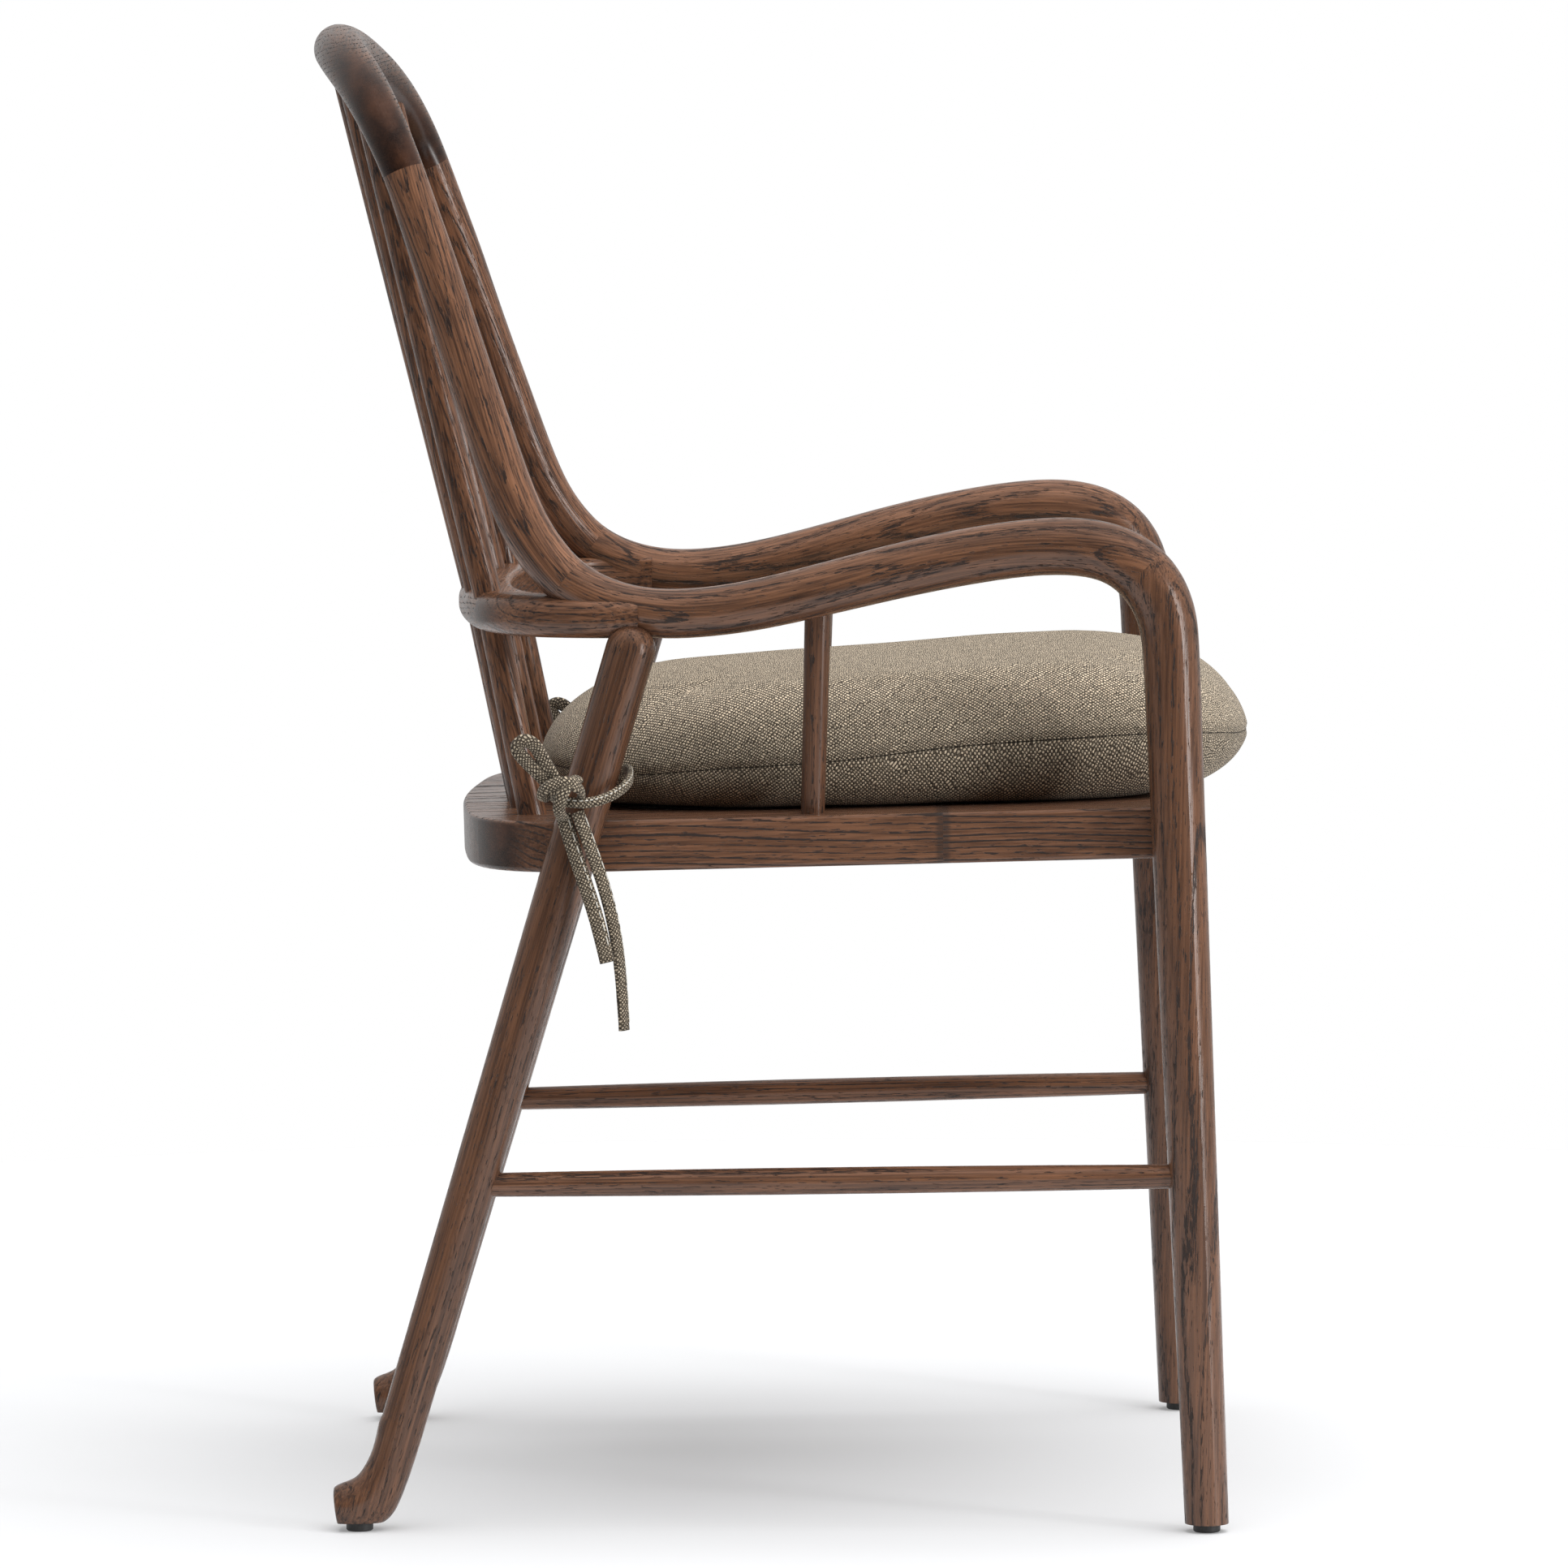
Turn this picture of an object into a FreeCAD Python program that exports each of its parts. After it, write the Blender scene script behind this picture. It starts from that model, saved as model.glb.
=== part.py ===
"""Wooden armchair with a bent-looking hoop back, a solid plank seat and a loose tied cushion.

Millimetres, +Z up, the sitter faces -Y, "right" is the sitter's right hand (-X).
The origin is on the floor, under the middle of the chair's box.
Every wooden piece is its own solid: tenons are part of their piece, and the piece
that receives one has the matching hole.
"""
import FreeCAD, Part
import math
import os

from FreeCAD import Placement, Rotation, Vector

# ---- driving dimensions ------------------------------------------------------------
SEAT_TOP_AT_ORIGIN = 464.4      # height of the seat's top face where Y = 0
SEAT_FALL = 0.0217              # the seat drops this much per mm towards the back
SEAT_THICKNESS = 33.0
SEAT_FRONT_Y = -262.0
SEAT_REAR_Y = 215.0
SEAT_HALF_FRONT = 262.0         # half width of the plank at its front
SEAT_BOARDS = 7
SEAT_EDGE_ROUND = 3.0
OUTER_BOARD_JOINT_Y = -105.0    # the outer boards are pieced end to end here

LEG_X = 272.5                   # front legs, half spacing
FRONT_FOOT = (-273.0, 28.4)     # centre Y and diameter where the front leg ends
BACK_LEG_X = 247.0
BACK_LEG_SLOPE = 0.3034         # rearward run of the back leg per mm of drop
BACK_LEG_Y0 = 269.8             # where the back leg's axis would meet the floor
SOLE_Z = 5.5                    # wooden feet end here, on the glides
GLIDE_DIAMETER = 17.6

BOW_BOTTOM = 580.0              # underside of the back bow
BOW_THICKNESS = 27.0
BOW_WIDTH = 35.0
BOW_JOINT_X = 176.0             # glue joints between the bow's centre and its two ends

SPINDLES = 7
SPINDLE_PITCH = 54.0            # at the bow
SPINDLE_DIAMETER = 18.8
SPINDLE_TENON = 12.0
SPINDLE_FAN = 0.0265            # the pitch shrinks this much per mm of rise
SPINDLE_AT_BOW = (203.4, 1.55)  # Y of the middle one, and the arc's depth per index squared
SPINDLE_AT_SEAT = (175.9, 1.41)
SPINDLE_BEND_Z = 595.0          # each spindle is sprung to a slight bend inside the bow

STRETCHER_END = 15.3
STRETCHER_MIDDLE = 17.6
POST_TOP = (-241.0, -25.5, 17.5)        # X, Y, diameter under the arm
POST_BOTTOM = (-229.0, -20.5, 15.3)     # and on the seat
DOWEL = 10.0

CUSHION_HALF_WIDTH = 220.0
CUSHION_FRONT_Y = -312.0
CUSHION_WIDEST_Y = -100.0
CUSHION_REAR_Y = 166.0
CUSHION_SIDES = 48              # corners in each outline of the cushion
CUSHION_CLEAR = 0.6             # gap between the cushion and the seat
SHELL = 3.0                     # cushion cover with its wadding
TIE_WIDTH = 9.0

# Centre line of the hoop from the middle of the crest to the top of a front leg's straight
# taper: half width, Y, Z, diameter.
HOOP = (
    (0.0, 293.7, 961.0, 33.0),
    (50.0, 290.4, 958.8, 33.0),
    (96.0, 282.4, 950.5, 32.6),
    (134.0, 271.0, 936.5, 31.6),
    (161.0, 259.9, 918.4, 30.0),
    (175.0, 250.5, 899.2, 28.4),
    (180.0, 243.0, 881.0, 27.4),
    (185.5, 230.8, 845.6, 28.0),
    (192.0, 217.8, 806.0, 29.0),
    (203.0, 198.4, 745.0, 30.3),
    (213.5, 179.9, 690.0, 31.2),
    (219.0, 166.3, 655.3, 31.8),
    (224.0, 149.8, 629.5, 32.0),
    (227.5, 136.8, 616.4, 32.0),
    (231.0, 118.5, 605.3, 32.0),
    (234.5, 98.5, 598.6, 32.0),
    (237.0, 79.3, 595.8, 32.0),
    (239.5, 52.0, 596.2, 32.0),
    (242.5, 20.7, 600.2, 32.6),
    (246.5, -26.0, 610.4, 33.8),
    (251.0, -84.0, 624.4, 35.6),
    (255.5, -134.4, 634.1, 36.4),
    (259.5, -171.0, 638.3, 36.8),
    (264.0, -200.6, 637.3, 37.4),
    (268.0, -220.0, 631.4, 38.2),
    (270.8, -234.0, 621.2, 39.2),
    (272.0, -244.2, 607.0, 39.0),
    (272.5, -249.8, 591.0, 37.8),
    (272.5, -252.0, 572.0, 36.7),
    (272.5, -252.9, 553.0, 36.4),
    (272.5, -253.6, 534.0, 36.1),
)
CREST_JOINT = 6                 # stations of HOOP at which its pieces meet
ARM_JOINT = 13
LEG_JOINT = 25

# Side view of the back foot: the rear edge of each cut and its front edge,
# fanned round the instep. (Y, Z) pairs.
FOOT_FAN = (
    ((261.6, 76.0), (234.0, 67.6)),
    ((266.2, 61.0), (238.6, 52.6)),
    ((269.6, 50.0), (242.6, 40.6)),
    ((273.4, 42.4), (246.6, 29.4)),
    ((277.4, 36.8), (251.4, 17.8)),
    ((282.4, 33.2), (259.0, 7.0)),
    ((287.6, 31.2), (270.0, 2.4)),
    ((291.4, 29.6), (281.6, 1.6)),
    ((294.2, 27.6), (291.2, 2.6)),
)

# Plan of the seat's rounded back corner and of the bow: half width, Y.
SEAT_CORNER = ((248.5, 112.0), (243.0, 146.0), (224.0, 177.0), (190.0, 197.5), (120.0, 209.5))
BOW_PLAN = (
    (235.5, 92.0), (234.0, 117.6), (224.0, 146.2), (204.0, 168.1),
    (163.0, 184.5), (110.0, 193.0), (55.0, 197.6), (0.0, 199.0),
)

# The ties: half width, Y, Z of the bow loop's tip and of each hanging tail from the knot
# down. The right-hand tails swing forward; the left-hand ones lie along the leg.
KNOT = (268.5, 137.5, 478.5)
TIES = {
    "right": {
        "tip": (276.0, 164.5, 514.0),
        "long": ((271.0, 130.5, 470.0), (274.5, 121.5, 446.0), (276.0, 112.0, 417.0),
                 (275.0, 105.8, 388.0), (272.5, 102.9, 358.0), (272.0, 101.6, 328.5)),
        "short": ((268.0, 140.0, 468.0), (271.5, 133.5, 446.0), (277.5, 125.0, 422.0),
                  (281.5, 117.0, 397.0), (282.0, 111.8, 373.5)),
    },
    "left": {
        "tip": (276.0, 160.5, 500.5),
        "long": ((271.0, 130.5, 470.0), (274.5, 139.0, 446.0), (274.5, 147.0, 419.0),
                 (272.5, 154.0, 392.0), (270.5, 162.5, 366.0), (269.5, 169.5, 341.0)),
        "short": ((270.0, 142.0, 469.0), (274.0, 150.0, 447.0), (275.0, 156.5, 423.0),
                  (272.5, 163.5, 399.0), (271.0, 171.5, 377.0)),
    },
}

SIDES = (("right", -1.0), ("left", 1.0))


# ---- small helpers -----------------------------------------------------------------
def seat_top(y):
    return SEAT_TOP_AT_ORIGIN - SEAT_FALL * y


def back_leg_y(z):
    return BACK_LEG_Y0 - BACK_LEG_SLOPE * z


def rod(start, end, start_diameter, end_diameter=None):
    """Round bar between two points, tapered when it has two diameters."""
    end_diameter = end_diameter or start_diameter
    axis = end - start
    if start_diameter == end_diameter:
        return Part.makeCylinder(start_diameter / 2, axis.Length, start, axis)
    return Part.makeCone(start_diameter / 2, end_diameter / 2, axis.Length, start, axis)


def ring_wire(centre, side, up, half_width, half_height):
    """Ellipse round centre, in the plane of the unit vectors side and up."""
    normal = side.cross(up)
    if half_width >= half_height:
        major, minor, x_axis = half_width, half_height, side
    else:
        major, minor, x_axis = half_height, half_width, up
    if abs(major - minor) < 1e-6:
        curve = Part.Circle(Vector(0, 0, 0), Vector(0, 0, 1), major)
    else:
        curve = Part.Ellipse(Vector(0, 0, 0), major, minor)
    wire = Part.Wire(curve.toShape())
    turn = Rotation(x_axis, Vector(0, 0, 0), normal, "ZXY")
    wire.Placement = Placement(centre, turn)
    return wire


def mirrored(shape):
    """The twin of a piece on the other side of the chair."""
    return shape.mirror(Vector(0, 0, 0), Vector(1, 0, 0))


def cut_all(shape, tools):
    """shape less every tool whose box it meets."""
    near = [tool for tool in tools if shape.BoundBox.intersect(tool.BoundBox)]
    return shape.cut(near) if near else shape


def largest(shape):
    """The biggest solid: a cut can leave chips too small to be a piece."""
    return max(shape.Solids, key=lambda solid: solid.Volume)


# ---- hoop: crest, uprights, arms and front legs -------------------------------------
def leg_rows():
    """Stations down the straight taper of a front leg, to a little below its sole."""
    x, y, z, d = HOOP[-1]
    foot_y, foot_d = FRONT_FOOT
    shares = [0.17 * step for step in range(1, 7)]
    return [(x, y + share * (foot_y - y), z + share * (SOLE_Z - z), d + share * (foot_d - d))
            for share in shares]


def hoop_stations():
    """Points, tangents and diameters from the left foot over the crest to the right."""
    half = list(HOOP[1:]) + leg_rows()
    left = [(x, y, z, d) for x, y, z, d in half]
    right = [(-x, y, z, d) for x, y, z, d in half]
    rows = list(reversed(left)) + [HOOP[0]] + right
    points = [Vector(x, y, z) for x, y, z, d in rows]
    line = Part.BSplineCurve()
    line.interpolate(points)
    tangents = [Vector(*line.tangent(line.parameter(p))[0]) for p in points]
    return points, tangents, [row[3] for row in rows]


def half_space(point, normal, reach=700.0):
    """Big block on the side of a plane that normal points to."""
    block = Part.makeBox(2 * reach, 2 * reach, reach, Vector(-reach, -reach, 0))
    block.Placement = Placement(point, Rotation(Vector(0, 0, 1), normal))
    return block


def hoop_frames(points, tangents):
    """A vector across the bar at each station, carried along without twist."""
    middle = len(points) // 2
    frames = [None] * len(points)
    for way in (range(middle, -1, -1), range(middle, len(points))):
        across = Vector(0, 0, 1)
        for i in way:
            across = (across - tangents[i] * across.dot(tangents[i])).normalize()
            frames[i] = across
    return frames


def hoop_pieces():
    """Crest, and the right-hand upright, arm and front leg, cut square at their glue joints."""
    points, tangents, diameters = hoop_stations()
    frames = hoop_frames(points, tangents)
    middle = len(points) // 2

    def stretch(first, last):
        start, end = first - 2, min(last + 2, len(points) - 1)
        rings = []
        for i in range(start, end + 1):
            radius = diameters[i] / 2
            up = tangents[i].cross(frames[i])
            rings.append(ring_wire(points[i], frames[i], up, radius, radius))
        bar = Part.makeLoft(rings, True)
        bar = bar.cut(half_space(points[first], -tangents[first]))
        if end > last:
            bar = bar.cut(half_space(points[last], tangents[last]))
        return largest(bar)

    crest, arm, corner = middle + CREST_JOINT, middle + ARM_JOINT, middle + LEG_JOINT
    leg = stretch(corner, len(points) - 1)
    sole = half_space(Vector(-LEG_X, FRONT_FOOT[0], SOLE_Z), Vector(0, 0, -1))
    return {
        "crest_rail": stretch(middle - CREST_JOINT, crest),
        "upright": stretch(crest, arm),
        "arm": stretch(arm, corner),
        "front_leg": largest(leg.cut(sole)),
    }


# ---- back bow -----------------------------------------------------------------------
def offset_points(points, distance):
    """Points moved sideways off a smooth line through them, in the XY plane."""
    line = Part.BSplineCurve()
    line.interpolate([Vector(x, y, 0) for x, y in points])
    moved = []
    for x, y in points:
        tangent = Vector(*line.tangent(line.parameter(Vector(x, y, 0)))[0])
        normal = Vector(-tangent.y, tangent.x, 0)
        moved.append(Vector(x, y, 0) + normal * distance)
    return moved


def bow_blank():
    """The whole U of the back bow, before it is fitted round the other pieces."""
    plan = list(BOW_PLAN) + [(-x, y) for x, y in reversed(BOW_PLAN[:-1])]
    outer, inner = Part.BSplineCurve(), Part.BSplineCurve()
    outer.interpolate(offset_points(plan, -BOW_WIDTH / 2))
    inner.interpolate(offset_points(plan, BOW_WIDTH / 2))
    ends = [Part.LineSegment(outer.StartPoint, inner.StartPoint),
            Part.LineSegment(outer.EndPoint, inner.EndPoint)]
    outline = Part.Wire(Part.__sortEdges__([c.toShape() for c in [outer, inner] + ends]))
    bow = Part.Face(outline).extrude(Vector(0, 0, BOW_THICKNESS))
    bow.translate(Vector(0, 0, BOW_BOTTOM))
    long_edges = [e for e in bow.Edges if e.Length > 400]
    longest = max(e.Length for e in long_edges)
    rounded = bow.makeFillet(12.0, [e for e in long_edges if e.Length > longest - 20])
    inner_edges = [e for e in rounded.Edges if 400 < e.Length < longest - 60
                   and e.BoundBox.ZLength < 1]
    inner_edges = sorted(inner_edges, key=lambda e: e.BoundBox.YMax)[:2]
    return rounded.makeFillet(4.0, inner_edges)


# ---- spindles -----------------------------------------------------------------------
def crest_at(x):
    """Centre of the crest at a half width x."""
    for (x0, y0, z0, d0), (x1, y1, z1, d1) in zip(HOOP, HOOP[1:]):
        if x0 <= x <= x1:
            t = (x - x0) / (x1 - x0)
            return Vector(x, y0 + t * (y1 - y0), z0 + t * (z1 - z0))
    raise ValueError("outside the crest")


def spindle(index, crest, seat):
    """Spindle and its two tenons; index runs from the middle outwards, signed."""
    def x_at(z):
        return index * (SPINDLE_PITCH - SPINDLE_FAN * (z - SPINDLE_BEND_Z))

    bow_y, bow_arc = SPINDLE_AT_BOW
    seat_y, seat_arc = SPINDLE_AT_SEAT
    bend = Vector(x_at(SPINDLE_BEND_Z), bow_y - bow_arc * index ** 2, SPINDLE_BEND_Z)
    low_y = seat_y - seat_arc * index ** 2
    low = Vector(x_at(seat_top(low_y)), low_y, seat_top(low_y))
    top = crest_at(abs(x_at(crest_at(abs(index) * 45.0).z)))
    top.x = math.copysign(top.x, index)
    down, up = (low - bend).normalize(), (top - bend).normalize()
    body = rod(bend, low + down * 12, SPINDLE_DIAMETER)
    body = body.fuse(rod(bend, top, SPINDLE_DIAMETER))
    body = body.fuse(Part.makeSphere(SPINDLE_DIAMETER / 2, bend))
    body = largest(body.cut(crest).cut(seat))
    foot_tenon = rod(low - down, low + down * 24, SPINDLE_TENON)
    head_tenon = rod(top - up * 22, top + up * 4, SPINDLE_TENON)
    return body.fuse(foot_tenon).fuse(head_tenon).removeSplitter()


# ---- seat ---------------------------------------------------------------------------
def seat_plank():
    """D-shaped plank, thickest face up, tipped a little backwards."""
    side = [Vector(x, y, 0) for x, y in SEAT_CORNER]
    rear = Part.BSplineCurve()
    rear.interpolate(side + [Vector(0, SEAT_REAR_Y, 0)] + [Vector(-p.x, p.y, 0) for p in reversed(side)])
    corner = Vector(SEAT_HALF_FRONT, SEAT_FRONT_Y, 0)
    other = Vector(-corner.x, corner.y, 0)
    edges = [rear, Part.LineSegment(side[0], corner), Part.LineSegment(corner, other),
             Part.LineSegment(other, Vector(-side[0].x, side[0].y, 0))]
    outline = Part.Wire(Part.__sortEdges__([e.toShape() for e in edges]))
    plank = Part.Face(outline).extrude(Vector(0, 0, SEAT_THICKNESS))
    rims = [e for e in plank.Edges if e.BoundBox.ZLength < 1]
    plank = plank.makeFillet(SEAT_EDGE_ROUND, rims)
    plank.translate(Vector(0, 0, -SEAT_THICKNESS))
    tip = math.degrees(math.atan(SEAT_FALL))
    plank.rotate(Vector(0, 0, 0), Vector(1, 0, 0), -tip)
    plank.translate(Vector(0, 0, SEAT_TOP_AT_ORIGIN))
    return plank


def seat_boards(plank):
    """The plank ripped into the boards it is glued up from."""
    width = 2 * SEAT_HALF_FRONT / SEAT_BOARDS
    boards = {}
    for i in range(SEAT_BOARDS):
        strip = Part.makeBox(width, 600, 100, Vector(-SEAT_HALF_FRONT + i * width, -300, 400))
        if i in (0, SEAT_BOARDS - 1):
            front = Part.makeBox(width, 300 + OUTER_BOARD_JOINT_Y, 100,
                                 Vector(strip.BoundBox.XMin, -300, 400))
            boards[f"seat_board_{i + 1}_front"] = plank.common(front)
            boards[f"seat_board_{i + 1}_rear"] = plank.common(strip.cut(front))
        else:
            boards[f"seat_board_{i + 1}"] = plank.common(strip)
    return boards


# ---- back legs, posts, stretchers, glides -------------------------------------------
def back_leg():
    """Raked round leg with a domed head and a foot kicked out to the rear."""
    head_z, ankle = 573.0, FOOT_FAN[0]
    head = Vector(-BACK_LEG_X, back_leg_y(head_z), head_z)
    ankle_centre = Vector(-BACK_LEG_X, (ankle[0][0] + ankle[1][0]) / 2, (ankle[0][1] + ankle[1][1]) / 2)
    ankle_width = math.dist(*ankle)
    along = (ankle_centre - head).normalize()
    dome = Part.makeSphere(16.2, head)
    rings = []
    for i, ((ry, rz), (fy, fz)) in enumerate(FOOT_FAN):
        rear, front = Vector(-BACK_LEG_X, ry, rz), Vector(-BACK_LEG_X, fy, fz)
        across = (rear - front).normalize()
        half = (rear - front).Length / 2
        half_width = ankle_width / 2 + 0.25 * min(i, 4) - (1.6 if i == len(FOOT_FAN) - 1 else 0)
        rings.append(ring_wire((rear + front) * 0.5, Vector(1, 0, 0), across, half_width, half))
    shank = Part.makeLoft([ring_wire(head, Vector(1, 0, 0), along.cross(Vector(1, 0, 0)), 16.2, 16.2),
                           rings[0]], True, True)
    foot = Part.makeLoft(rings, True)
    cap = min(foot.Faces, key=lambda f: -f.CenterOfMass.y)
    foot = foot.makeFillet(2.5, cap.Edges)
    foot = foot.cut(Part.makeBox(100, 100, 30, Vector(-BACK_LEG_X - 50, 220, SOLE_Z - 30)))
    return shank.fuse(dome).fuse(largest(foot)).removeSplitter()


def arm_post(arm, seat):
    top = Vector(POST_TOP[0], POST_TOP[1], 604.0)
    bottom = Vector(POST_BOTTOM[0], POST_BOTTOM[1], seat_top(POST_BOTTOM[1]) - 8)
    run = (top - bottom).normalize()
    body = rod(bottom, top, POST_BOTTOM[2], POST_TOP[2])
    body = largest(body.cut(arm).cut(seat))
    foot_tenon = rod(bottom - run * 12, bottom + run * 10, 10.0)
    head_tenon = rod(top - run * 14, top + run * 8, 10.0)
    return body.fuse(foot_tenon).fuse(head_tenon).removeSplitter()


def stretcher():
    """Long side rail, a little fuller in the middle, and its tenon through both ends."""
    front = Vector(-LEG_X, -264.5, 231.5)
    rear = Vector(-BACK_LEG_X, back_leg_y(225.5), 225.5)
    run = rear - front
    swell = Part.BSplineCurve()
    swell.interpolate([Vector(STRETCHER_END / 2, 0, 0), Vector(STRETCHER_MIDDLE / 2, 0, run.Length / 2),
                       Vector(STRETCHER_END / 2, 0, run.Length)])
    core = Part.makePolygon([swell.EndPoint, Vector(0, 0, run.Length), Vector(0, 0, 0),
                             swell.StartPoint])
    profile = Part.Face(Part.Wire([swell.toShape()] + core.Edges))
    rail = profile.revolve(Vector(0, 0, 0), Vector(0, 0, 1), 360)
    rail.Placement = Placement(front, Rotation(Vector(0, 0, 1), run))
    step = run.normalize()
    return rail, rod(front - step * 6, rear + step * 5, 10.0)


def glide(x, y):
    """Black plastic glide: a disc with a bevelled sole and a stem in the leg."""
    disc = Part.makeCylinder(GLIDE_DIAMETER / 2, SOLE_Z, Vector(x, y, 0))
    rim = [e for e in disc.Edges if e.BoundBox.ZMax < 0.1]
    disc = disc.makeChamfer(0.9, rim)
    return disc.fuse(Part.makeCylinder(2.5, 14, Vector(x, y, SOLE_Z - 0.5))).removeSplitter()


# ---- cushion ------------------------------------------------------------------------
def cushion_layer(fraction, inset, thinner):
    """One outline of the cushion, a closed polygon: squarish front, D-shaped back."""
    undercut = 1.9 if fraction < 0.4 else 1.0
    half = CUSHION_HALF_WIDTH - inset
    front = CUSHION_WIDEST_Y - CUSHION_FRONT_Y - inset * undercut
    rear = CUSHION_REAR_Y - CUSHION_WIDEST_Y - inset
    corners = []
    for k in range(CUSHION_SIDES):
        angle = 2 * math.pi * k / CUSHION_SIDES
        across, along = math.cos(angle), math.sin(angle)
        power, run = (0.45, front) if along < 0 else (0.68, rear)
        x = half * math.copysign(abs(across) ** power, across)
        y = CUSHION_WIDEST_Y + run * math.copysign(abs(along) ** power, along)
        thickness = 89.5 - 0.047 * y - 2 * thinner
        corners.append(Vector(x, y, seat_top(y) + CUSHION_CLEAR + thinner + fraction * thickness))
    return Part.makePolygon(corners + corners[:1])


def cushion_solid(thinner=0.0):
    levels = ((0.0, 30.0), (0.10, 13.0), (0.25, 4.0), (0.42, 0.0), (0.62, 4.0),
              (0.80, 17.0), (0.93, 48.0), (1.0, 100.0))
    layers = [cushion_layer(level, inset + thinner, thinner) for level, inset in levels]
    return Part.makeLoft(layers, True, True)


def cushion_cover(cushion, foam):
    """The skin between the cushion's outside and its foam block."""
    cavity = foam.Shells[0].copy()
    cavity.reverse()
    return Part.makeSolid(Part.Compound([cushion.Shells[0], cavity]))


# ---- ties ---------------------------------------------------------------------------
def cord_tube(name, route, diameter):
    """Round tube along straight runs joined by tangent arcs, as large as the runs allow."""
    points = [Vector(*p) for p in route]
    edges, start, radii = [], points[0], []
    for before, corner, after in zip(points, points[1:], points[2:]):
        a, b = (before - corner).normalize(), (after - corner).normalize()
        turn = math.pi - a.getAngle(b)
        reach = 0.45 * min((before - corner).Length, (after - corner).Length)
        radii.append(reach / math.tan(turn / 2))
        entry, leave = corner + a * reach, corner + b * reach
        bisector = (a + b).normalize()
        centre = corner + bisector * (radii[-1] / math.cos(turn / 2))
        middle = centre - bisector * radii[-1]
        edges.append(Part.LineSegment(start, entry).toShape())
        edges.append(Part.Arc(entry, middle, leave).toShape())
        start = leave
    edges.append(Part.LineSegment(start, points[-1]).toShape())
    path = Part.Wire(edges)
    ring = Part.Wire(Part.Circle(points[0], points[1] - points[0], diameter / 2).toShape())
    tube = path.makePipeShell([ring], True, True)
    expected = math.pi * diameter ** 2 / 4 * path.Length
    print(f"{name}: length {path.Length:.1f}, smallest radius {min(radii):.0f}, "
          f"volume over section times length {tube.Volume / expected:.4f}")
    return tube


def tie_loop(tip):
    """The single bow loop: the strap folded back on itself, both strands side by side."""
    root = Vector(*KNOT)
    run = (tip - root).normalize()
    across = run.cross(Vector(1, 0, 0)).normalize() * (TIE_WIDTH / 2)
    path = Part.Wire([
        Part.LineSegment(root + across, tip + across).toShape(),
        Part.Arc(tip + across, tip + run * (TIE_WIDTH / 2), tip - across).toShape(),
        Part.LineSegment(tip - across, root - across).toShape(),
    ])
    ring = Part.Wire(Part.Circle(root + across, run, TIE_WIDTH / 2 - 0.4).toShape())
    return path.makePipeShell([ring], True, True)


def tie_band(height):
    """The part of a tie that goes round the leg and back to the cushion's corner."""
    centre = Vector(BACK_LEG_X, back_leg_y(height), height)
    axis = Vector(0, -BACK_LEG_SLOPE, 1).normalize()
    band = Part.makeCylinder(20.2, TIE_WIDTH, centre - axis * (TIE_WIDTH / 2), axis)
    hole = Part.makeCylinder(17.0, TIE_WIDTH * 5, centre - axis * TIE_WIDTH * 2.5, axis)
    front = rod(centre + Vector(-10, -15, 2), Vector(196.0, 98.0, 489.0), 5.0)
    rear = rod(centre + Vector(-8, 16, -2), Vector(186.0, 146.0, 487.0), 5.0)
    return band.fuse([front, rear]).cut(hole).removeSplitter()


def tie(side, sign, leg, neighbours):
    """The pieces of one tie, made on the left and mirrored for the right."""
    shape = TIES[side]
    knot = Part.makeSphere(8.0, Vector(*KNOT)).cut(leg)
    band = tie_band(484.0).cut(neighbours + [leg, knot])
    loop = tie_loop(Vector(*shape["tip"])).cut([knot, band])
    pieces = {"tie_knot": knot, "tie_band": band, "tie_loop": loop}
    for tail in ("long", "short"):
        tube = cord_tube(f"{tail} tail, {side}", shape[tail], TIE_WIDTH)
        pieces[f"tie_tail_{tail}"] = tube.cut([knot, loop])
    if sign < 0:
        pieces = {name: mirrored(piece) for name, piece in pieces.items()}
    return {f"{name}_{side}": piece for name, piece in pieces.items()}


# ---- the whole chair ----------------------------------------------------------------
def hoop_dowels():
    """Pegs across the glue joints of the hoop."""
    points, tangents, _ = hoop_stations()
    middle = len(points) // 2
    pegs = []
    for station, length in ((CREST_JOINT, 44.0), (ARM_JOINT, 36.0), (LEG_JOINT, 26.0)):
        for i in (middle - station, middle + station):
            half = tangents[i] * (length / 2)
            pegs.append(rod(points[i] - half, points[i] + half, DOWEL))
    return pegs


def side_dowels():
    """Right-hand pegs: seat to both legs, back leg to arm, bow end to arm."""
    front_y, rear_y = -256.4, back_leg_y(446.0)
    seat_pegs = []
    for rise in (-9.0, 9.0):
        z = seat_top(front_y) - SEAT_THICKNESS / 2 + rise
        seat_pegs.append(rod(Vector(-282, front_y, z), Vector(-236, front_y, z), 8.0))
        z = seat_top(rear_y) - SEAT_THICKNESS / 2 + rise
        y = back_leg_y(z)
        seat_pegs.append(rod(Vector(-256, y, z), Vector(-206, y, z), 8.0))
    head = Vector(-BACK_LEG_X, back_leg_y(566.0), 566.0)
    leg_peg = rod(head, Vector(-236.5, 92.0, 600.0), 8.0)
    bow_peg = rod(Vector(-230, 126, 583), Vector(-230, 126, 616), 8.0)
    return seat_pegs, [leg_peg, bow_peg]


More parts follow.
